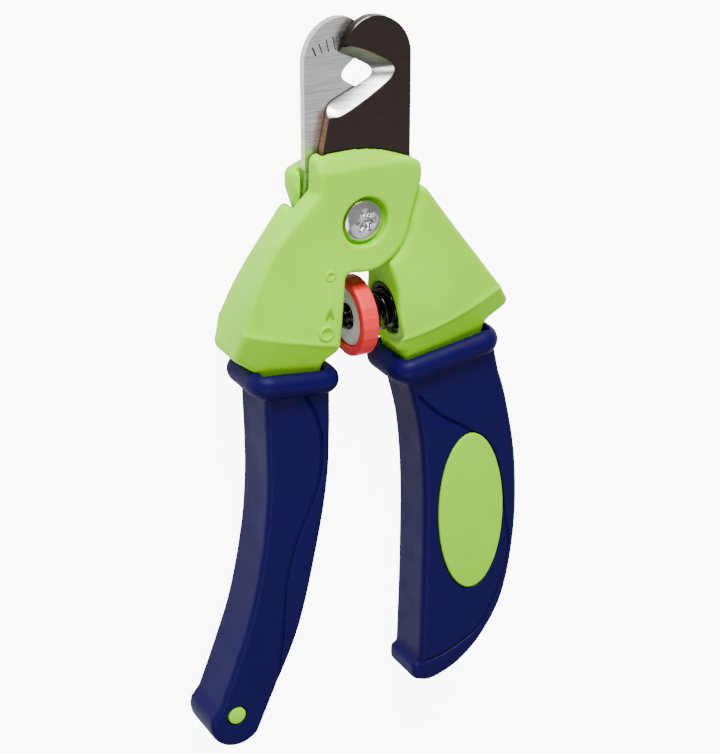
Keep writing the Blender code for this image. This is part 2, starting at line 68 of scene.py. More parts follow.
# Sizes that follow the CAD.
CLOSING_ANGLE = 12.8
LOBE_RADIUS = 11.3
HEAD_ROOM_RADIUS = 11.75
RECESS_RADIUS, RECESS_FLOOR = 5.5, 3.4
BUSHING_ROOM_RADIUS = 3.5
BLADE_FACE, BLADE_BACK = 0.15, 2.15
BLADE_THICKNESS = 2.0
BLADE_EDGE_X = 12.8
BLADE_MID_X = 0.35
TANG_END, TANG_RADIUS = (-15.5, -12.0), 4.0
ADJUSTER_Y = -23.5
STUD_LEFT, STUD_SHOULDER, STUD_PITCH = -13.6, 2.6, 1.25
WHEEL_LEFT, WHEEL_RIGHT, WHEEL_RADIUS = -2.3, 1.7, 9.0
SPRING_START, SPRING_END = 3.5, 13.2
COLLAR_DEPTH = 9.1
LEFT_COLLAR = ((-17.6, -33.6), (11.1, 2.9), -7.0)
RIGHT_COLLAR = ((20.4, -35.5), (14.1, 3.1), 8.0)
BADGE_CENTRE, BADGE_HALF, BADGE_TILT = (28.0, -77.3), (8.8, 20.7), 2.9
PLUG_CENTRE, PLUG_RADIUS = (-34.0, -113.8), 2.1


# ---------------------------------------------------------------- outlines

def arc(centre, radius, start, end):
    """Points along an arc between two angles in degrees."""
    count = max(2, math.ceil(abs(end - start) / ARC_STEP))
    angles = [math.radians(start + (end - start) * i / count) for i in range(count + 1)]
    return [(centre[0] + radius * math.cos(a), centre[1] + radius * math.sin(a)) for a in angles]


def rounded(corners):
    """A closed outline through corners (x, y, radius), each corner turned into an arc."""
    points = []
    for i, (x, y, radius) in enumerate(corners):
        here = Vector((x, y))
        back = (Vector(corners[i - 1][:2]) - here).normalized()
        ahead = (Vector(corners[(i + 1) % len(corners)][:2]) - here).normalized()
        opening = back.angle(ahead)
        if radius <= 0 or opening > math.radians(179):
            points.append((x, y))
            continue
        centre = here + (back + ahead).normalized() * (radius / math.sin(opening / 2))
        first = here + back * (radius / math.tan(opening / 2)) - centre
        turn = math.pi - opening
        side = 1 if back.x * ahead.y - back.y * ahead.x < 0 else -1
        count = max(1, math.ceil(math.degrees(turn) / CORNER_STEP))
        for k in range(count + 1):
            c, s = math.cos(side * turn * k / count), math.sin(side * turn * k / count)
            points.append((centre.x + first.x * c - first.y * s, centre.y + first.x * s + first.y * c))
    return points


def smooth(points, count=8):
    """Points along a Catmull-Rom curve through the given ones."""
    ends = [points[0]] + list(points) + [points[-1]]
    out = []
    for p0, p1, p2, p3 in zip(ends, ends[1:], ends[2:], ends[3:]):
        for k in range(count):
            t = k / count
            out.append(tuple(
                0.5 * (2 * b + (c - a) * t + (2 * a - 5 * b + 4 * c - d) * t * t
                       + (3 * b - a - 3 * c + d) * t ** 3)
                for a, b, c, d in zip(p0, p1, p2, p3)))
    return out + [points[-1]]


def even(points, count):
    """The same line with evenly spaced points."""
    points = np.array(points, float)
    along = np.concatenate([[0], np.cumsum(np.linalg.norm(np.diff(points, axis=0), axis=1))])
    at = np.linspace(0, along[-1], count)
    return [tuple(p) for p in np.stack([np.interp(at, along, points[:, i]) for i in range(2)], 1)]


def plain(points):
    """The points as corners without a radius."""
    return [(x, y, 0) for x, y in points]


def flipped(points, about):
    """The mirror image about x = about, still anticlockwise."""
    return [(2 * about - x, y) for x, y in reversed(points)]


def turned_by(x, y, degrees):
    """A place turned anticlockwise about the origin."""
    c, s = math.cos(math.radians(degrees)), math.sin(math.radians(degrees))
    return x * c - y * s, x * s + y * c


def offset(outline, distance):
    """An anticlockwise outline moved inwards."""
    moved = []
    for i, (x, y) in enumerate(outline):
        before, after = outline[i - 1], outline[(i + 1) % len(outline)]
        first = Vector((before[1] - y, x - before[0])).normalized()
        second = Vector((y - after[1], after[0] - x)).normalized()
        mitre = (first + second) / max(0.4, 1 + first.dot(second))
        moved.append((x + mitre.x * distance, y + mitre.y * distance))
    return moved


# ---------------------------------------------------------------- moulded shapes

def polygon_field(outline, x, y):
    """Signed distance to a closed outline, negative inside."""
    nearest = np.full(np.broadcast(x, y).shape, 1e9)
    inside = np.zeros(nearest.shape, bool)
    for (x0, y0), (x1, y1) in zip(outline, outline[1:] + outline[:1]):
        ex, ey = x1 - x0, y1 - y0
        t = np.clip(((x - x0) * ex + (y - y0) * ey) / (ex * ex + ey * ey + 1e-12), 0, 1)
        nearest = np.minimum(nearest, (x - x0 - ex * t) ** 2 + (y - y0 - ey * t) ** 2)
        if y0 != y1:
            inside ^= ((y0 > y) != (y1 > y)) & (x < x0 + (y - y0) * ex / ey)
    return np.sqrt(nearest) * np.where(inside, -1, 1)


def line_field(points, x, y):
    """Distance to an open line."""
    nearest = np.full(np.broadcast(x, y).shape, 1e9)
    for (x0, y0), (x1, y1) in zip(points, points[1:]):
        ex, ey = x1 - x0, y1 - y0
        t = np.clip(((x - x0) * ex + (y - y0) * ey) / (ex * ex + ey * ey + 1e-12), 0, 1)
        nearest = np.minimum(nearest, (x - x0 - ex * t) ** 2 + (y - y0 - ey * t) ** 2)
    return np.sqrt(nearest)


def soft_min(a, b, width):
    """The smaller of two values, blended where they are close: joins two shapes with a fillet."""
    h = np.clip(0.5 + 0.5 * (b - a) / width, 0, 1)
    return b * (1 - h) + a * h - width * h * (1 - h)


def soft_cut(a, b, width):
    """Shape a with shape b taken away."""
    return -soft_min(-a, b, width)


def plate(flat, z, half, edge):
    """A plate of the given half depth with rounded edges."""
    out, up = flat + edge, np.abs(z) - half + edge
    return np.minimum(np.maximum(out, up), 0) + np.hypot(np.maximum(out, 0), np.maximum(up, 0)) - edge


def slab(flat, z, low, high):
    """A sharp-edged prism between two heights."""
    return np.maximum(flat, np.maximum(low - z, z - high))


def step_up(value, low, high):
    """From 0 at low to 1 at high, smoothly."""
    t = np.clip((value - low) / (high - low), 0, 1)
    return t * t * (3 - 2 * t)


def axes(low, high, step=GRID):
    """The grid's three axes, shaped to be combined into one field."""
    spans = [np.arange(a, b + step, step) for a, b in zip(low, high)]
    return spans[0][:, None, None], spans[1][None, :, None], spans[2][None, None, :]


def sampled(field, places):
    """The field's value between grid points."""
    base = np.clip(np.floor(places).astype(int), 0, np.array(field.shape) - 2)
    f = places - base
    value = 0
    for corner in np.ndindex(2, 2, 2):
        weight = np.prod([f[:, k] if c else 1 - f[:, k] for k, c in enumerate(corner)], axis=0)
        value = value + weight * field[tuple((base + corner).T)]
    return value


def crossings(field, cells):
    """The mean of the places where the field changes sign on each cell's edges."""
    summed, count = np.zeros((len(cells), 3)), np.zeros(len(cells))
    for corner in np.ndindex(2, 2, 2):
        for k in range(3):
            if corner[k]:
                continue
            far = list(corner)
            far[k] = 1
            a = field[tuple((cells + corner).T)]
            b = field[tuple((cells + far).T)]
            hit = (a < 0) != (b < 0)
            place = np.tile(np.array(corner, float), (len(cells), 1))
            place[:, k] += np.where(hit, a / np.where(hit, a - b, 1), 0)
            summed[hit] += place[hit]
            count += hit
    return cells + summed / count[:, None]


def net(field, low, step=GRID):
    """Points and quads of the field's zero surface, one point in each cell that it passes through."""
    inside = field < 0
    total = sum(inside[tuple(slice(c, c - 1 or None) for c in corner)].astype(int)
                for corner in np.ndindex(2, 2, 2))
    cells = np.argwhere((total > 0) & (total < 8))
    number = np.full(total.shape, -1)
    number[tuple(cells.T)] = np.arange(len(cells))
    places = crossings(field, cells)
    slopes = np.gradient(field)
    for _ in range(NET_REFINEMENTS):
        g = np.stack([sampled(s, places) for s in slopes], 1)
        size = (g * g).sum(1) + 1e-6
        places -= np.clip(g * (sampled(field, places) / size)[:, None], -NET_MOST_MOVE, NET_MOST_MOVE)
    quads = []
    for k in range(3):
        a, b = [s for s in range(3) if s != k]
        first = np.take(inside, range(inside.shape[k] - 1), k)
        second = np.take(inside, range(1, inside.shape[k]), k)
        for turn, hits in ((1, first & ~second), (-1, ~first & second)):
            at = np.argwhere(hits)
            for side in (a, b):
                at = at[(at[:, side] > 0) & (at[:, side] < total.shape[side])]
            corners = []
            for da, db in ((-1, -1), (0, -1), (0, 0), (-1, 0)):
                cell = at.copy()
                cell[:, a] += da
                cell[:, b] += db
                corners.append(number[tuple(cell.T)])
            quad = np.stack(corners, 1)
            quads.append(quad if (turn > 0) != (k == 1) else quad[:, ::-1])
    return places * step + np.array([s.flat[0] for s in low]), np.concatenate(quads)


def joined(*shapes):
    """Several pairs of points and faces as one pair."""
    points, faces = [], []
    for more, quads in shapes:
        faces += [tuple(i + len(points) for i in q) for q in quads]
        points += [tuple(p) for p in more]
    return points, faces


def circle(segments):
    """Evenly spread angles."""
    return [2 * math.pi * i / segments for i in range(segments)]


def bands(rows, columns):
    """Quads between rows of points, each row a closed loop."""
    return [(r * columns + c, r * columns + d, (r + 1) * columns + d, (r + 1) * columns + c)
            for r in range(rows - 1) for c in range(columns) for d in [(c + 1) % columns]]


def caps(rows, columns):
    """Faces that close the first and the last row."""
    return [tuple(range(columns - 1, -1, -1)), tuple(range((rows - 1) * columns, rows * columns))]


def add_object(name, points, faces, material, body, sharp=None):
    """An object from points in millimetres round the pivot, on its CAD body.

    Edges sharper than the given angle in degrees stay sharp.
    """
    mesh = bpy.data.meshes.new(name)
    mesh.from_pydata([tuple(Vector(p) * MM + PIVOT) for p in points], [], [tuple(f) for f in faces])
    mesh.validate()
    mesh.update()
    mesh.shade_smooth()
    if sharp:
        mesh.set_sharp_from_angle(angle=math.radians(sharp))
    obj = bpy.data.objects.new(name, mesh)
    bpy.context.scene.collection.objects.link(obj)
    for one in material if isinstance(material, (list, tuple)) else [material]:
        mesh.materials.append(one)
    if body:
        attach(obj, body)
    return obj


# ---------------------------------------------------------------- finishes

class Finish:
    """A Principled material with procedural variation laid over it."""

    def __init__(self, name, colour, roughness, metallic=0.0, **sockets):
        self.material = bpy.data.materials.new(name)
        self.material.use_nodes = True
        self.tree = self.material.node_tree
        self.shader = self.tree.nodes["Principled BSDF"]
        self.colour = (*colour, 1.0)
        self.shader.inputs["Base Color"].default_value = self.colour
        self.shader.inputs["Roughness"].default_value = roughness
        self.shader.inputs["Metallic"].default_value = metallic
        for key, value in sockets.items():
            self.shader.inputs[key.replace("_", " ")].default_value = value
        self.bump = None

    def node(self, kind, **values):
        """A new node; a value sets the input socket of that name, or else the node's own property."""
        node = self.tree.nodes.new(kind)
        for key, value in values.items():
            if key in node.inputs:
                node.inputs[key].default_value = value
            else:
                setattr(node, key, value)
        return node

    def join(self, source, target):
        self.tree.links.new(source, target)

    def noise(self, scale, detail, stretch=(1, 1, 1), turn=0.0):
        """A noise value in the object's own space, stretched along one direction."""
        place = self.node("ShaderNodeTexCoord")
        mapping = self.node("ShaderNodeMapping")
        mapping.inputs["Rotation"].default_value = (0, 0, math.radians(turn))
        mapping.inputs["Scale"].default_value = stretch
        noise = self.node("ShaderNodeTexNoise", Scale=scale, Detail=detail)
        self.join(place.outputs["Object"], mapping.inputs["Vector"])
        self.join(mapping.outputs["Vector"], noise.inputs["Vector"])
        return noise.outputs["Fac"]

    def vary_colour(self, value, dark, light):
        """Colour between two shares of the base colour."""
        ramp = self.node("ShaderNodeValToRGB")
        ramp.color_ramp.elements[0].position = 0.35
        ramp.color_ramp.elements[0].color = tuple(c * dark for c in self.colour[:3]) + (1,)
        ramp.color_ramp.elements[1].position = 0.65
        ramp.color_ramp.elements[1].color = tuple(min(1, c * light) for c in self.colour[:3]) + (1,)
        self.join(value, ramp.inputs["Fac"])
        self.join(ramp.outputs["Color"], self.shader.inputs["Base Color"])

    def vary_roughness(self, value, low, high):
        """Roughness between two values."""
        spread = self.node("ShaderNodeMapRange")
        spread.inputs["From Min"].default_value = 0.3
        spread.inputs["From Max"].default_value = 0.7
        spread.inputs["To Min"].default_value = low
        spread.inputs["To Max"].default_value = high
        self.join(value, spread.inputs["Value"])
        self.join(spread.outputs["Result"], self.shader.inputs["Roughness"])

    def add_bump(self, value, strength, distance):
        """Relief laid over any relief already there; the distance is in metres."""
        bump = self.node("ShaderNodeBump", Strength=strength, Distance=distance)
        self.join(value, bump.inputs["Height"])
        if self.bump:
            self.join(self.bump.outputs["Normal"], bump.inputs["Normal"])
        self.bump = bump
        self.join(bump.outputs["Normal"], self.shader.inputs["Normal"])


def moulded(name, colour, roughness, grain, depth, **sockets):
    """Moulded plastic or rubber: a fine grain, faint mottling and uneven gloss."""
    finish = Finish(name, colour, roughness, **sockets)
    finish.vary_colour(finish.noise(60, 2), 0.95, 1.04)
    finish.vary_roughness(finish.noise(140, 4), roughness - 0.05, roughness + 0.06)
    finish.add_bump(finish.noise(grain, 2), 0.5, depth)
    finish.add_bump(finish.noise(90, 2), 0.12, 0.0002)
    return finish.material


# A ground blade's lines: how much finer they are across than along, and the scale of the noise.
GRINDING, GRINDING_SCALE = (1, 60, 1), 90

# How much finer the uneven gloss of a metal is than its colour.
GLOSS_SCALE = 1.7


def metal(name, colour, roughness, scale, lines, strength, dark, light, metallic=1.0):
    """Metal with its colour and relief in one noise; lines holds how that is stretched and turned."""
    finish = Finish(name, colour, roughness, metallic)
    tone = finish.noise(scale, 6, *lines)
    finish.vary_colour(tone, dark, light)
    finish.vary_roughness(finish.noise(scale * GLOSS_SCALE, 4, *lines), roughness - 0.08, roughness + 0.12)
    finish.add_bump(tone, strength, 0.00004)
    return finish.material


def brushed(name, colour, roughness, turn, strength, dark=0.8, light=1.1):
    """Steel with fine grinding lines at an angle of turn degrees."""
    return metal(name, colour, roughness, GRINDING_SCALE, (GRINDING, turn), strength, dark, light)


def machined(name, colour, roughness, scale, strength, dark, light, metallic=1.0):
    """Metal with an even, fine grain."""
    return metal(name, colour, roughness, scale, (), strength, dark, light, metallic)


GREEN = moulded("lime_plastic", (0.29, 0.76, 0.0), 0.32, 2600, 0.00002, Specular_IOR_Level=0.14)
NAVY = moulded("navy_rubber", (0.003, 0.0, 0.055), 0.46, 3200, 0.00005, Specular_IOR_Level=0.1)
RED = moulded("red_plastic", (0.80, 0.02, 0.03), 0.4, 2400, 0.00002, Specular_IOR_Level=0.35)
BLACK = moulded("black_plastic", (0.006, 0.006, 0.006), 0.4, 2400, 0.00003)
BRIGHT = brushed("bright_blade_steel", (0.66, 0.66, 0.67), 0.34, -13, 0.5, 0.62, 1.12)
GROUND = brushed("ground_bevel_steel", (0.80, 0.80, 0.80), 0.28, -60, 0.2)
# Painted shade: the front blade's upper notch bevel faces down, so it gets darker ground steel in place of
# its darker reflection.
PAINTED_SHADE_STEEL = brushed("ground_steel_painted_shade", (0.17, 0.165, 0.15), 0.36, -60, 0.2)
DISC = machined("bright_disc_steel", (0.85, 0.84, 0.86), 0.55, 200, 0.15, 0.9, 1.05, 0.3)
DARK = brushed("black_blade_steel", (0.036, 0.027, 0.024), 0.2, -13, 0.01, 0.94, 1.06)
DARK_EDGE = brushed("black_blade_edge", (0.10, 0.08, 0.075), 0.2, -13, 0.02, 0.9, 1.1)
TEMPERED = brushed("tempered_edge_steel", (0.30, 0.15, 0.06), 0.3, 90, 0.1)
STEEL = machined("machined_steel", (0.72, 0.70, 0.72), 0.42, 200, 0.12, 0.9, 1.05)
CHROME = machined("polished_screw_steel", (0.62, 0.60, 0.62), 0.12, 300, 0.06, 0.85, 1.1)
BLACK_STEEL = machined("blackened_steel", (0.03, 0.026, 0.024), 0.14, 400, 0.05, 0.8, 1.2)
BRASS = machined("brass", (0.55, 0.36, 0.13), 0.3, 300, 0.1, 0.9, 1.05)
MARK = moulded("engraved_mark", (0.004, 0.004, 0.004), 0.6, 2000, 0.00001)

SLOT_FINISH = {"green_plastic": GREEN, "navy_rubber": NAVY, "red_plastic": RED, "black_plastic": BLACK,
               "bright_blade": BRIGHT, "dark_blade": DARK, "steel": STEEL, "black_steel": BLACK_STEEL,
               "brass": BRASS}
CAD_SHARP = 32


def finish_cad_nodes():
    """Gives each CAD node, shown or hidden, the finish of its material slot."""
    slots = {s["node"]: s["material_slot"] for s in frame["record"]["subparts"]}
    for name, node in frame["nodes"].items():
        node.data.materials.clear()
        node.data.materials.append(SLOT_FINISH[slots[name]])
        node.data.shade_smooth()
        node.data.set_sharp_from_angle(angle=math.radians(CAD_SHARP))


# ---------------------------------------------------------------- frames

# The left flank's line at the frame's front and at its back, and the depth over which it changes.
FRONT_FLANK = [(-14.9, 4.9), (-17.5, 2.4), (-21.4, -1.5), (-25.6, -7.7), (-28.1, -12.3), (-30.0, -17.4),
               (-31.2, -22.0)]
BACK_FLANK = [(-13.9, 4.6), (-15.4, 2.8), (-18.2, -1.1), (-23.4, -8.4), (-26.8, -14.3), (-29.4, -20.0),
              (-30.3, -22.4)]
FLANK_BLEND = 14

# Where the frames are thickest.
LEFT_RIDGE = [(-30.8, -19.0), (-23.3, -21.6), (-15.0, -24.3), (-8.5, -26.0)]
RIGHT_RIDGE = [(8.0, -28.2), (13.6, -27.5), (17.5, -26.6), (22.6, -25.3), (27.8, -23.3), (32.2, -21.3)]

# Half depths at the head and the ridge, the slope below the ridge, the rib along it and the bevel
# at the head's top.
HEAD_DEPTH, RIDGE_RISE = 5.7, 2.35
RIDGE_DEPTH, NECK_SLOPE = 8.05, 0.4
RIB_HEIGHT, RIB_WIDTH = 0.28, 0.55
HEAD_TOP_DEPTH, HEAD_TOP_SLOPE, HEAD_TOP_Y = 5.75, 0.7, 12.2
FRAME_EDGE = 1.25

# The slot round the frame's own blade, the wheel's room and the left end of a blade's hidden outline.
SLOT_GAP, SLOT_DEPTHS = 0.3, (-0.15, 2.45)
WHEEL_ROOM_RADIUS = 9.45
BLADE_LEFT = [(-8.7, 14.5), (-9.6, 5.0)]

# The floor of the room for the other half's head; OPEN lies beyond every surface.
HEAD_ROOM_FLOOR = 0.35
OPEN = 20

# The raised pointer's middle, and how far it goes into and stands out of the frame's face.
POINTER_CENTRE = (-9.8, -17.6)
POINTER_SUNK, POINTER_RAISED = 0.4, 0.25


def head_side():
    """The front head from its lobe, up its right side and over the top to its left side."""
    lobe = plain(arc((0, 0), LOBE_RADIUS, -104, -8))
    top = plain([(9.2, 13.1), (5.3, 14.5), (1.0, 15.4), (-3.2, 15.8)])
    return lobe + [(14.1, 7.6, 6.0), (13.9, 11.2, 1.8)] + top + [(-10.9, 15.4, 1.7)]


def left_outline(flank):
    """The front frame; its flank bulges more at the front than at the back."""
    body = [(-31.9, -25.6, 1.9), (-26.4, -30.0, 1.6), (-25.2, -33.9, 1.6), (-10.8, -35.2, 1.6),
            (-10.6, -30.4, 1.6), (-7.5, -28.0, 1.6), (-5.05, -10.9, 1.4)]
    return rounded([(-11.2, 7.8, 1.0)] + plain(smooth(flank, 4)) + body + head_side())


def right_outline():
    """The rear frame; its head is the front one's mirror image."""
    head = [(-x, y, r) for x, y, r in reversed(head_side())]
    body = [(5.7, -11.0, 1.4), (7.4, -17.0, 8.0), (7.4, -31.0, 1.6), (9.9, -32.8, 1.6), (10.1, -36.6, 1.6),
            (31.4, -36.4, 1.6), (31.4, -29.8, 2.4), (37.7, -26.3, 1.7), (15.4, 4.9, 1.8), (11.2, 7.9, 1.0)]
    return rounded(head + body)


def blade_line():
    """The part of a blade's outline that lies between the frames, from left to right."""
    tang_turn = math.degrees(math.atan2(TANG_END[1], TANG_END[0]))
    tang = arc(TANG_END, TANG_RADIUS, tang_turn - 90, tang_turn + 90)
    return BLADE_LEFT + tang + arc((0, 0), 9.6, -92, -20) + [(BLADE_EDGE_X, 5.5)]


def ridge_side(ridge, x, y):
    """How far a place lies above a frame's curved ridge."""
    curve = np.polyfit([p[0] for p in ridge], [p[1] for p in ridge], 2)
    return (y - np.polyval(curve, x)) / np.hypot(1, np.polyval(np.polyder(curve), x))


def front_depth(y):
    """Half a frame's depth between its head and its ridge."""
    return HEAD_DEPTH + RIDGE_RISE * step_up(-y / 24.0, -0.05, 1.15)


def head_room(side):
    """The plan of what is cut from a frame where the other frame's head turns."""
    if side > 0:
        sweep = arc((0, 0), HEAD_ROOM_RADIUS, 189, 330)
        return sweep + [(40, -5.9), (40, 30), (-40, 30), (-40, 3.4), (-13.5, 3.4)]
    sweep = arc((0, 0), HEAD_ROOM_RADIUS, -150, -9)
    return sweep + [(14.55, 7.6), (14.3, 30), (-40, 30), (-40, -5.9)]


def blade_slot(side):
    """The plan of the slot that a frame's own blade lies in."""
    slot = offset(blade_line() + [(BLADE_EDGE_X, 20), (-8.4, 20)], -SLOT_GAP)
    return slot if side > 0 else flipped(slot, BLADE_MID_X)


def frame_field(x, y, z, flat, ridge, side):
    """A frame's body with its depth following the ridge, less the room for blade, head and pivot."""
    above = ridge_side(ridge, x, y)
    depth = soft_min(front_depth(y), RIDGE_DEPTH + above * NECK_SLOPE, 0.35)
    depth = depth + RIB_HEIGHT * np.exp(-(above / RIB_WIDTH) ** 2)
    depth = soft_min(depth, HEAD_TOP_DEPTH - HEAD_TOP_SLOPE * (y - HEAD_TOP_Y), 0.3)
    shape = plate(flat, z, depth, FRAME_EDGE)
    front = side * z
    room = slab(polygon_field(head_room(side), x, y), front, -OPEN, HEAD_ROOM_FLOOR)
    shape = soft_cut(shape, room, 2.3 if side < 0 else 0.6)
    slot = slab(polygon_field(blade_slot(side), x, y), front, *SLOT_DEPTHS)
    shape = soft_cut(shape, slot, 0.15)
    far = np.hypot(x, y)
    shape = soft_cut(shape, slab(far - RECESS_RADIUS, front, RECESS_FLOOR, OPEN), 0.5)
    return soft_cut(shape, slab(far - BUSHING_ROOM_RADIUS, front, -1, 5), 0.2)


def round_hole(x, y, z, low, high, radius):
    """A hole round the adjuster's axis between two places along it."""
    return slab(np.hypot(y - ADJUSTER_Y, z) - radius, x, low, high)


def torus(centre, ring, wire, height):
    """A ring that lies flat, as points and faces."""
    segments, sides = 36, 10
    points, faces = [], []
    for i, a in enumerate(circle(segments)):
        for k, b in enumerate(circle(sides)):
            r, z = ring + wire * math.cos(b), height + wire * math.sin(b)
            points.append((centre[0] + r * math.cos(a), centre[1] + r * math.sin(a), z))
            j, m = (i + 1) % segments, (k + 1) % sides
            faces.append((i * sides + k, j * sides + k, j * sides + m, i * sides + m))
    return points, faces


def pointer():
    """The raised pointer between the two rings: a narrow spike with a swallow tail."""
    outline = [(-9.45, -12.9), (-10.05, -16.6), (-11.2, -19.8), (-10.4, -19.2), (-9.95, -18.7), (-9.5, -19.2),
               (-8.7, -20.0), (-9.3, -16.6)]
    cx, cy = POINTER_CENTRE
    inner = [((x - cx) * 0.7 + cx, (y - cy) * 0.92 + cy) for x, y in outline]
    count = len(outline)
    points = [(x, y, float(front_depth(y)) - POINTER_SUNK) for x, y in outline]
    points += [(x, y, float(front_depth(y)) + POINTER_RAISED) for x, y in inner]
    return points, [tuple(reversed(q)) for q in bands(2, count) + caps(2, count)[1:]]


def build_left_frame():
    low = axes((-34, -37, -9), (16, 18, 9))
    x, y, z = low
    front, back = (polygon_field(left_outline(flank), x, y) for flank in (FRONT_FLANK, BACK_FLANK))
    share = np.clip(0.5 + z / FLANK_BLEND, 0, 1)
    shape = frame_field(x, y, z, front * share + back * (1 - share), LEFT_RIDGE, 1)
    shape = soft_cut(shape, round_hole(x, y, z, -15, 0, 4.2), 0.2)
    points, faces = net(shape, low)
    marks = [torus((-10.9, -22.6), 1.45, 0.42, 7.95), torus((-9.1, -10.2), 0.95, 0.34, 6.55), pointer()]
    obj = add_object("left_frame_moulding", *joined((points, faces), *marks), GREEN, "left_half")
    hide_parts("left_frame")


def build_right_frame():
    low = axes((-17, -39, -9), (39, 18, 9))
    x, y, z = low
    shape = frame_field(x, y, z, polygon_field(right_outline(), x, y), RIGHT_RIDGE, -1)
    shape = soft_cut(shape, round_hole(x, y, z, 0, 15.1, 6.1), 0.15)
    closed_x, closed_y = turned_by(x, y, -CLOSING_ANGLE)
    shape = soft_cut(shape, round_hole(closed_x, closed_y, z, -6.3, 2.1, WHEEL_ROOM_RADIUS), 0.5)
    points, faces = net(shape, low)
    obj = add_object("right_frame_moulding", points, faces, GREEN, "right_half")
    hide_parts("right_frame")


# ---------------------------------------------------------------- grips

GRIP_DEPTH, FOOT_DEPTH = 6.5, 6.4
COLLAR_CORNER = 5.0
NECK_DEPTH, NECK_EDGE = 6.55, 0.8
GROOVE_WIDTH, GROOVE_SLOPE, GROOVE_TOP = 0.5, 0.55, 6.6
BADGE_GAP, BADGE_FLOOR = 0.25, 5.6
PLUG_GAP = 0.3

LEFT_GROOVE = [(-15.3, -37.2), (-12.9, -42.1), (-11.5, -48.6), (-11.8, -56.0), (-13.1, -61.2), (-15.2, -66.4),
               (-17.5, -70.9), (-19.4, -76.8), (-20.8, -82.9), (-21.4, -89.3), (-22.0, -97.1),
               (-22.7, -102.3), (-23.8, -110.1), (-25.8, -115.5)]
RIGHT_GROOVE = [(13.5, -44.2), (18.8, -49.8), (27.0, -55.6), (30.4, -59.0), (32.7, -62.2), (35.7, -70.9),
                (37.8, -82.2), (38.7, -89.3), (38.0, -94.6), (35.9, -101.0), (31.3, -109.5), (22.9, -114.0),
                (15.9, -115.2)]
LEFT_NECK = [(-25.5, -34.6), (-10.5, -35.6), (-10.3, -24.0), (-25.5, -24.0)]
RIGHT_NECK = [(9.8, -37.0), (31.7, -36.8), (31.5, -26.0), (9.6, -26.0)]


def left_grip_outline():
    outer = smooth([(-24.9, -41.0), (-24.7, -50.0), (-24.9, -60.0), (-26.2, -72.5), (-29.6, -88.5),
                    (-34.2, -101.5), (-38.0, -111.0)])
    tip = arc((-33.6, -115.5), 6.8, 162, 318)
    inner = smooth([(-24.4, -110.8), (-17.3, -94.5), (-12.0, -72.3), (-9.7, -58.0), (-9.2, -48.0),
                    (-9.1, -41.0)])
    return rounded([(-25.0, -32.5, 1.5)] + plain(outer + tip + inner) + [(-9.1, -32.5, 1.5)])


def right_grip_outline():
    inner = smooth([(12.0, -44.5), (14.2, -54.6), (15.4, -70.6), (15.4, -92.3), (14.9, -112.0)])
    outer = smooth([(19.2, -121.1), (25.6, -118.7), (32.5, -112.6), (38.2, -102.0), (40.9, -84.5),
                    (40.3, -66.0), (37.4, -50.5), (35.0, -42.5)])
    sides = plain(inner) + [(14.7, -121.2, 2.6)] + plain(outer)
    return rounded([(9.3, -34.5, 1.5)] + sides + [(33.2, -34.5, 1.5)])


def grip_field(x, y, z, outline, edge, collar, neck, groove):
    """A grip with its bead collar, the mouth round the frame's neck and the groove down both faces."""
    centre, (half, bead_radius), tilt = collar
    along, across = turned_by(x - centre[0], y - centre[1], -tilt)
    ring = plate(np.maximum(np.abs(along) - half, -COLLAR_CORNER), z, COLLAR_DEPTH, COLLAR_CORNER)
    bead = np.hypot(np.maximum(ring + bead_radius, 0), across) - bead_radius
    body = plate(polygon_field(outline, x, y), z, GRIP_DEPTH, edge)
    shape = soft_min(body, bead, 0.7)
    shape = soft_cut(shape, plate(polygon_field(neck, x, y), z, NECK_DEPTH, NECK_EDGE), 0.5)
    channel = line_field(smooth(groove, 4), x, y) - GROOVE_WIDTH + GROOVE_SLOPE * (GROOVE_TOP - np.abs(z))
    return soft_cut(shape, channel * 0.85, 0.1)


def build_left_grip():
    low = axes((-43, -124, -10), (-5, -28, 10), FINE)
    x, y, z = low
    shape = grip_field(x, y, z, left_grip_outline(), 1.3, LEFT_COLLAR, LEFT_NECK, LEFT_GROOVE)
    plug = np.hypot(x - PLUG_CENTRE[0], y - PLUG_CENTRE[1]) - PLUG_RADIUS - PLUG_GAP
    shape = soft_cut(shape, plug, 0.3)
    obj = add_object("left_grip_moulding", *net(shape, low, FINE), NAVY, "left_half")
    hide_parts("left_grip")


def build_right_grip():
    low = axes((3, -125, -10), (43, -29, 10), FINE)
    x, y, z = low
    shape = grip_field(x, y, z, right_grip_outline(), 1.7, RIGHT_COLLAR, RIGHT_NECK, RIGHT_GROOVE)
    foot = rounded([(13.1, -115.3, 1.5), (13.1, -120.5, 2.2), (19.0, -120.7, 1.4), (19.0, -115.3, 1.4)])
    shape = soft_min(shape, plate(polygon_field(foot, x, y), z, FOOT_DEPTH, 1.9), 0.9)
    across, along = turned_by(x - BADGE_CENTRE[0], y - BADGE_CENTRE[1], -BADGE_TILT)
    wide, tall = BADGE_HALF
    oval = (np.hypot(across / (wide + BADGE_GAP), along / (tall + BADGE_GAP)) - 1) * wide
    shape = soft_cut(shape, np.maximum(oval, BADGE_FLOOR - np.abs(z)), 0.3)
    obj = add_object("right_grip_moulding", *net(shape, low, FINE), NAVY, "right_half")
    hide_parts("right_grip")


def rounding(share, height, rise, count):
    """A quarter turn at a disc's rim: share less of the plan while it rises from a height."""
    return [(1 - share * (1 - math.cos(t)), height + rise * math.sin(t)) for t in np.linspace(0, 1.57, count)]


def disc_mesh(centre, half, heights, segments=96):
    """A solid with an oval plan; heights holds (share of the plan, z) from its bottom to its top."""
    points = [(centre[0] + half[0] * share * math.cos(a), centre[1] + half[1] * share * math.sin(a), z)
              for share, z in heights for a in circle(segments)]
    return points, bands(len(heights), segments) + caps(len(heights), segments)


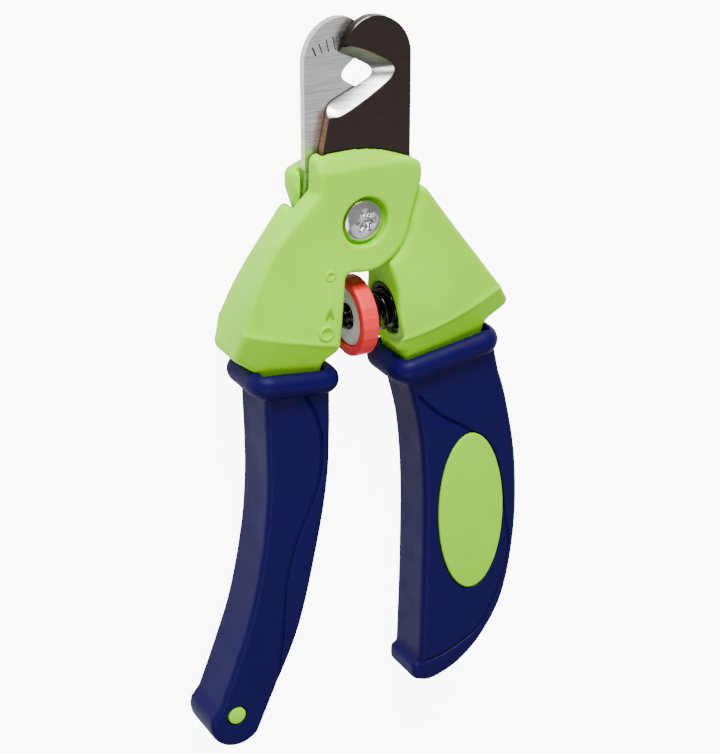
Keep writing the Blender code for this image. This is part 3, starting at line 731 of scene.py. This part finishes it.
def build_badges():
    dome = [(share, 6.5 + 0.28 * (1 - share * share)) for share in (0.9, 0.75, 0.55, 0.35, 0.15, 0.02)]
    heights = [(0.995, 5.75)] + rounding(0.035, 6.15, 0.35, 6) + dome
    for name, side in (("front_badge", 1), ("rear_badge", -1)):
        points, faces = disc_mesh((0, 0), BADGE_HALF, heights)
        points = [(*(Vector(BADGE_CENTRE) + Vector(turned_by(x, y, BADGE_TILT))), z) for x, y, z in points]
        if side < 0:
            points = [(x, y, -z) for x, y, z in points]
            faces = [tuple(reversed(f)) for f in faces]
        obj = add_object(name + "_inlay", points, faces, GREEN, "right_half")
        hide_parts(name)


def build_plug():
    upper = [(1.0, 5.6)] + rounding(0.12, 6.3, 0.25, 5) + [(0.6, 6.62), (0.3, 6.68), (0.02, 6.7)]
    heights = [(s, -z) for s, z in reversed(upper)] + upper
    cap = disc_mesh(PLUG_CENTRE, (PLUG_RADIUS, PLUG_RADIUS), heights, 48)
    obj = add_object("handle_plug_cap", *cap, GREEN, "left_half", 40)
    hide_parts("handle_plug")


# ---------------------------------------------------------------- blades

NOTCH_EDGE = [(-3.5, 36.2), (0.0, 34.5), (2.2, 33.3), (3.8, 32.2), (4.35, 31.0), (3.5, 29.9), (0.2, 28.3),
              (-2.6, 27.1), (-5.4, 25.8), (-6.4, 24.6)]
NOTCH_GROUND = [(-3.1, 38.0), (1.0, 36.7), (5.3, 34.5), (7.9, 32.8), (8.8, 31.3), (7.9, 29.8), (4.2, 27.3),
                (-0.6, 24.7), (-4.2, 23.2), (-6.9, 23.1)]
EDGE_POINTS, NOTCH_POINTS = 60, 48

# The rear blade is drawn narrower than the front one, with a shallower notch.
REAR_EDGE_X, REAR_NOTCH_REACH = 12.1, 0.76

# How far through the blade each of its layers lies, and where the grinding ends.
BLADE_LAYERS = (0, 0.03, 0.15, 0.3, 0.45, 0.6, 0.75, 0.9, 0.94)
GROUND_UNTIL, GROUND_CURVE = 0.94, 0.82
BLADE_CORNER = 0.12

# Finish numbers of a blade's faces, in the order of its materials, and how many faces of the notch's upper
# arm take darker steel as painted shade.
SIDES, GROUND_NOTCH, CORNER, INNER_EDGE, ENGRAVED, PAINTED_SHADE_ARM = range(6)
UPPER_ARM = 19

SCALE_MARKS = [((-9.4, 37.9), (-8.6, 36.0), 0.34), ((-7.9, 38.5), (-7.1, 36.3), 0.24),
               ((-6.2, 39.1), (-5.6, 36.5), 0.24), ((-4.7, 39.6), (-4.0, 36.6), 0.24),
               ((-3.0, 39.9), (-2.6, 37.1), 0.24), ((-1.2, 40.1), (-0.8, 37.4), 0.24)]
MARK_DEPTHS = (-0.2, -0.135)


def crown(edge):
    """A blade's outer edge, from its long side over the top to the tip."""
    top, rise, nose_reach = (3.6, 34.2), 9.2, 7.4
    side = [(top[0] + (edge - top[0]) * x, top[1] + rise * y) for x, y in arc((0, 0), 1, 0, 90)]
    nose = [(top[0] + nose_reach * x, top[1] + rise * y) for x, y in arc((0, 0), 1, 90, 158)[1:]]
    return [(edge, 14.0), (edge, 24.0)] + side + nose


def notch_line(points, reach):
    """The notch's outline; reach below 1 makes its inner end shallower."""
    return even([(x * reach if x > 0 else x, y) for x, y in smooth(points, 6)], NOTCH_POINTS)


def blade_loops(side):
    """The blade's outline at each layer, from the face that slides on the other blade outwards."""
    outside = even(crown(BLADE_EDGE_X if side > 0 else REAR_EDGE_X), EDGE_POINTS)
    edge, ground = (notch_line(points, 1.0 if side > 0 else REAR_NOTCH_REACH)
                    for points in (NOTCH_EDGE, NOTCH_GROUND))
    rest = even(BLADE_LEFT, 6) + blade_line()[2:]
    loops = []
    for layer in BLADE_LAYERS:
        share = min(1.0, layer / GROUND_UNTIL) ** GROUND_CURVE
        notch = [(a[0] + (b[0] - a[0]) * share, a[1] + (b[1] - a[1]) * share) for a, b in zip(edge, ground)]
        loops.append([(x, y, BLADE_FACE + BLADE_THICKNESS * layer) for x, y in outside + notch + rest])
    top = offset([(x, y) for x, y, _ in loops[-1]], BLADE_CORNER)
    return loops + [[(x, y, BLADE_BACK) for x, y in top]]


def side_finish(part, side):
    """The finish of a face by its number along the outline, counted from the notch."""
    last = NOTCH_POINTS - 1
    if 0 <= part < last:
        # Painted shade: faces of the front blade's upper notch arm take the darker ground steel.
        return PAINTED_SHADE_ARM if side > 0 and part < UPPER_ARM else GROUND_NOTCH
    return INNER_EDGE if part in (last, last + 1) else SIDES


def blade_mesh(side):
    """Points, faces and a finish number per face."""
    loops = blade_loops(side)
    if side < 0:
        loops = [[(2 * BLADE_MID_X - x, y, -z) for x, y, z in loop] for loop in loops]
    rows, count = len(loops), len(loops[0])
    finish = [side_finish(i - EDGE_POINTS, side) for i in range(count)] * (rows - 2) + [CORNER] * count
    return [p for loop in loops for p in loop], bands(rows, count) + caps(rows, count), finish + [SIDES] * 2


def scale_mark(start, end, width):
    """A thin inlaid stroke on the rear blade's front face."""
    a, b = Vector(start), Vector(end)
    across = Vector((-(b - a).y, (b - a).x)).normalized() * width / 2
    flat = [a - across, b - across, b + across, a + across]
    return [(p.x, p.y, z) for z in MARK_DEPTHS for p in flat], bands(2, 4) + caps(2, 4)[1:]


def build_blades():
    # The front blade's last finish is painted shade, the darker steel on its upper notch bevel.
    kinds = (("front_blade", 1, "left_half", [DARK, GROUND, DARK_EDGE, TEMPERED, MARK, PAINTED_SHADE_STEEL]),
             ("rear_blade", -1, "right_half", [BRIGHT, GROUND, BRIGHT, TEMPERED, MARK]))
    for name, side, body, looks in kinds:
        points, faces, finish = blade_mesh(side)
        if side < 0:
            marks = [scale_mark(*mark) for mark in SCALE_MARKS]
            finish += [ENGRAVED] * sum(len(quads) for _, quads in marks)
            points, faces = joined((points, faces), *marks)
        obj = add_object(name + "_plate", points, faces, looks, body, 24)
        obj.data.polygons.foreach_set("material_index", finish)
        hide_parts(name)


# ---------------------------------------------------------------- pivot

SCREW_SIDES = 144
SCREW_RADIUS, SCREW_HEAD_RADIUS, SCREW_RIM, SCREW_DOME = 2.0, 4.6, 4.5, 0.9
SOCKET_RADIUS, SOCKET_LOBE, SOCKET_LOBES = 1.85, 0.38, 6


def turned_mesh(profile, segments, shaped=None):
    """Points and faces turned about Z from (radius, z) pairs; shaped changes a radius by its angle."""
    points = []
    for radius, z in profile:
        for a in circle(segments):
            r = shaped(radius, a) if shaped else radius
            points.append((r * math.cos(a), r * math.sin(a), z))
    return points, bands(len(profile), segments)


def star(share, a):
    """Half the width of the six-lobe socket in one direction."""
    return share * (SOCKET_RADIUS + SOCKET_LOBE * math.cos(SOCKET_LOBES * a))


def build_screw():
    dome = [(SCREW_HEAD_RADIUS * math.cos(t), SCREW_RIM + SCREW_DOME * math.sin(t))
            for t in np.linspace(0.08, 0.92, 16)]
    rim = [(SCREW_RADIUS, 3.2), (SCREW_RADIUS, 3.7), (4.5, 3.7),
           (SCREW_HEAD_RADIUS, 3.85), (SCREW_HEAD_RADIUS, 4.45)]
    head, _ = turned_mesh(rim + dome, SCREW_SIDES)
    recess = [(1.08, 5.34), (1.0, 5.28), (0.9, 4.4), (0.5, 4.2), (0.01, 4.15)]
    socket, _ = turned_mesh(recess, SCREW_SIDES, star)
    top = head + socket
    rod = [(0.01, -6.4), (1.5, -6.4), (1.9, -6.0), (SCREW_RADIUS, -5.8), (SCREW_RADIUS, 3.3)]
    shank = turned_mesh(rod, 48)
    whole = joined((top, bands(len(top) // SCREW_SIDES, SCREW_SIDES)), shank)
    obj = add_object("pivot_screw_body", *whole, CHROME, "left_half", 32)
    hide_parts("pivot_screw")


# ---------------------------------------------------------------- adjuster

WHEEL_FACETS, FACETS_FROM = 24, 8.2
THREAD_CORE, THREAD_HEIGHT, THREAD_CREST = 2.0, 0.6, 1.35
SPRING_TURNS, SPRING_WIRE, SPRING_RADIUS = 4.5, 0.5, 4.1
BUSH_MOUTH, BUSH_FLOOR, BUSH_END = 7.5, 14.0, 14.8
BUSH_RADIUS, BUSH_BORE = 5.8, 5.0
MOUTH_X, MOUTH_Y, MOUTH_SLANT = 8.35, -22.2, 0.2272


def along_x(points):
    """From an axis along Z to the adjuster's axis along X."""
    return [(z, ADJUSTER_Y - y, x) for x, y, z in points]


def facet(radius, a):
    """A radius on the wheel's rim, flattened into facets."""
    if radius < FACETS_FROM:
        return radius
    part = 2 * math.pi / WHEEL_FACETS
    return radius * math.cos(part / 2) / math.cos((a % part) - part / 2)


def build_wheel():
    low, high = WHEEL_LEFT, WHEEL_RIGHT
    edge = [(7.0, 0), (8.5, 0), (8.75, 0.08), (8.92, 0.25), (WHEEL_RADIUS, 0.5)]
    profile = [(6.85, low + 0.2)] + [(r, low + z) for r, z in edge]
    profile += [(r, high - z) for r, z in reversed(edge)]
    profile += [(6.85, high - 0.2), (6.8, high - 0.3), (6.8, low + 0.3), (6.85, low + 0.2)]
    points, faces = turned_mesh(profile, 192, facet)
    ring = add_object("wheel_ring_rim", along_x(points), faces, RED, "adjuster_wheel", 11)
    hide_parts("wheel_ring")
    low, high = low + 0.6, high - 0.3
    profile = [(2.95, low + 0.15), (3.2, low), (6.4, low), (6.55, low + 0.15), (6.55, high - 0.15),
               (6.4, high), (3.2, high), (2.95, high - 0.15), (2.95, low + 0.15)]
    points, faces = turned_mesh(profile, 96)
    disc = add_object("wheel_disc_face", along_x(points), faces, DISC, "adjuster_wheel", 30)
    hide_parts("wheel_disc")


def build_stud():
    segments, per_turn = 48, 8
    length = STUD_SHOULDER - STUD_LEFT
    count = int(length / STUD_PITCH * per_turn)
    rows = [[(STUD_LEFT, ADJUSTER_Y, 0)] * segments]
    for i in range(count + 1):
        x = STUD_LEFT + length * i / count
        row = []
        for k, a in enumerate(circle(segments)):
            phase = (x / STUD_PITCH - k / segments) % 1.0
            r = THREAD_CORE + THREAD_HEIGHT * min(1.0, THREAD_CREST * (1 - abs(2 * phase - 1)))
            row.append((x, ADJUSTER_Y + r * math.cos(a), r * math.sin(a)))
        rows.append(row)
    for x, r in ((2.9, 1.9), (3.4, 1.35), (6.1, 1.35), (6.5, 0.95), (6.5, 0.02)):
        rows.append([(x, ADJUSTER_Y + r * math.cos(a), r * math.sin(a)) for a in circle(segments)])
    points = [p for row in rows for p in row]
    faces = bands(len(rows), segments)
    obj = add_object("adjuster_stud_thread", points, faces, BLACK_STEEL, "left_half", 50)
    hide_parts("adjuster_stud")


def build_spring():
    per_turn, sides = 40, 12
    count = int(SPRING_TURNS * per_turn)
    points = []
    for i in range(count + 1):
        a = 2 * math.pi * i / per_turn
        out = Vector((0, math.cos(a), math.sin(a)))
        x = SPRING_START + (SPRING_END - SPRING_START) * i / count
        centre = Vector((x, ADJUSTER_Y, 0)) + out * SPRING_RADIUS
        points += [centre + out * SPRING_WIRE * math.cos(b) + Vector((SPRING_WIRE * math.sin(b), 0, 0))
                   for b in circle(sides)]
    faces = bands(count + 1, sides) + caps(count + 1, sides)
    obj = add_object("return_spring_coil", points, faces, BLACK_STEEL, None, 60)
    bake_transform(obj)
    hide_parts("return_spring")


def mouth(y):
    """How far left the bush reaches, on a slant that clears the wheel when the handles are squeezed."""
    return max(BUSH_MOUTH, MOUTH_X - MOUTH_SLANT * (y - MOUTH_Y))


def build_bush():
    profile = [(0.02, BUSH_END), (BUSH_RADIUS, BUSH_END), (BUSH_RADIUS, 7.65), (5.65, BUSH_MOUTH),
               (5.15, BUSH_MOUTH), (BUSH_BORE, 7.7), (BUSH_BORE, BUSH_FLOOR), (0.02, BUSH_FLOOR)]
    points, faces = turned_mesh(profile, 72)
    points = [(x + (mouth(y) - BUSH_MOUTH if x < 8 else 0), y, z) for x, y, z in along_x(points)]
    obj = add_object("spring_bush_cup", points, faces, BLACK, "right_half", 30)
    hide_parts("spring_bush")


# ---------------------------------------------------------------- camera, floor and light

# The camera's direction in degrees, its distance and its offset to the left and down, in millimetres.
CAMERA_TURN, CAMERA_TILT = 29.2, 25.2
CAMERA_DISTANCE, CAMERA_LEFT, CAMERA_DOWN = 425, 1.02, 32.94
CAMERA_LENS, CAMERA_SENSOR = 100, 36

# The floor's glow as it lights the object and as it is seen.
FLOOR_GLOW, FLOOR_GLOW_SEEN = 0.35, 9.0
FLOOR_HALF, FLOOR_Z = 2, -0.0001

WORLD_STRENGTH = 0.38
LIGHT_TARGET = Vector((0, 0, 0.01))

# Name, direction from the object, distance in metres, width and height in metres, power in watts.
LIGHTS = (("key", (-0.05, 0.9, 0.43), 0.7, (0.5, 0.25), 10),
          ("front", (-0.4, -0.35, 0.85), 0.9, (0.5, 0.5), 3.2),
          ("card", (0.441, -0.426, 0.79), 0.9, (0.6, 0.5), 0.9),
          ("left", (-0.95, 0.1, 0.3), 0.8, (0.3, 0.5), 0.6))


def place_camera():
    turn, tilt = math.radians(CAMERA_TURN), math.radians(CAMERA_TILT)
    right = Vector((math.cos(turn), 0, math.sin(turn)))
    back = Vector((-math.sin(turn) * math.cos(tilt), math.sin(tilt), math.cos(turn) * math.cos(tilt)))
    up = back.cross(right)
    centre = Vector((0, 0, 5.1)) - right * CAMERA_LEFT - up * CAMERA_DOWN + back * CAMERA_DISTANCE
    data = bpy.data.cameras.new("camera")
    data.lens, data.sensor_width, data.sensor_fit = CAMERA_LENS, CAMERA_SENSOR, "HORIZONTAL"
    data.clip_start, data.clip_end = 0.01, 10
    data.dof.use_dof = False
    camera = bpy.data.objects.new("camera", data)
    rotation = Matrix((right, up, back)).transposed().to_4x4()
    camera.matrix_world = Matrix.Translation(centre * MM + PIVOT) @ rotation
    bpy.context.scene.collection.objects.link(camera)
    bpy.context.scene.camera = camera


def add_light(name, direction, distance, size, power):
    data = bpy.data.lights.new(name, "AREA")
    data.shape, data.size, data.size_y = "RECTANGLE", size[0], size[1]
    data.energy = power
    light = bpy.data.objects.new(name, data)
    direction = Vector(direction)
    light.location = LIGHT_TARGET + direction.normalized() * distance
    light.rotation_euler = direction.to_track_quat("Z", "Y").to_euler()
    bpy.context.scene.collection.objects.link(light)


def build_floor():
    """A white floor that looks bright and throws only a little light back."""
    floor = Finish("pale_floor", (0.93, 0.93, 0.93), 0.9, Emission_Color=(1, 1, 1, 1))
    floor.vary_colour(floor.noise(8, 2), 0.995, 1.0)
    seen = floor.node("ShaderNodeLightPath")
    glow = floor.node("ShaderNodeMapRange")
    glow.inputs["To Min"].default_value = FLOOR_GLOW
    glow.inputs["To Max"].default_value = FLOOR_GLOW_SEEN
    floor.join(seen.outputs["Is Camera Ray"], glow.inputs["Value"])
    floor.join(glow.outputs["Result"], floor.shader.inputs["Emission Strength"])
    mesh = bpy.data.meshes.new("floor")
    corners = [(x * FLOOR_HALF, y * FLOOR_HALF, FLOOR_Z) for x, y in ((-1, -1), (1, -1), (1, 1), (-1, 1))]
    mesh.from_pydata(corners, [], [(0, 1, 2, 3)])
    mesh.materials.append(floor.material)
    ground = bpy.data.objects.new("floor", mesh)
    bpy.context.scene.collection.objects.link(ground)


def build_stage():
    build_floor()
    world = bpy.data.worlds.new("studio")
    world.use_nodes = True
    background = world.node_tree.nodes["Background"]
    background.inputs["Color"].default_value = (1, 1, 1, 1)
    background.inputs["Strength"].default_value = WORLD_STRENGTH
    bpy.context.scene.world = world
    for light in LIGHTS:
        add_light(*light)


place_camera()
build_stage()
finish_cad_nodes()
build_left_frame()
build_right_frame()
build_left_grip()
build_right_grip()
build_badges()
build_plug()
build_blades()
build_screw()
build_wheel()
build_stud()
build_spring()
build_bush()
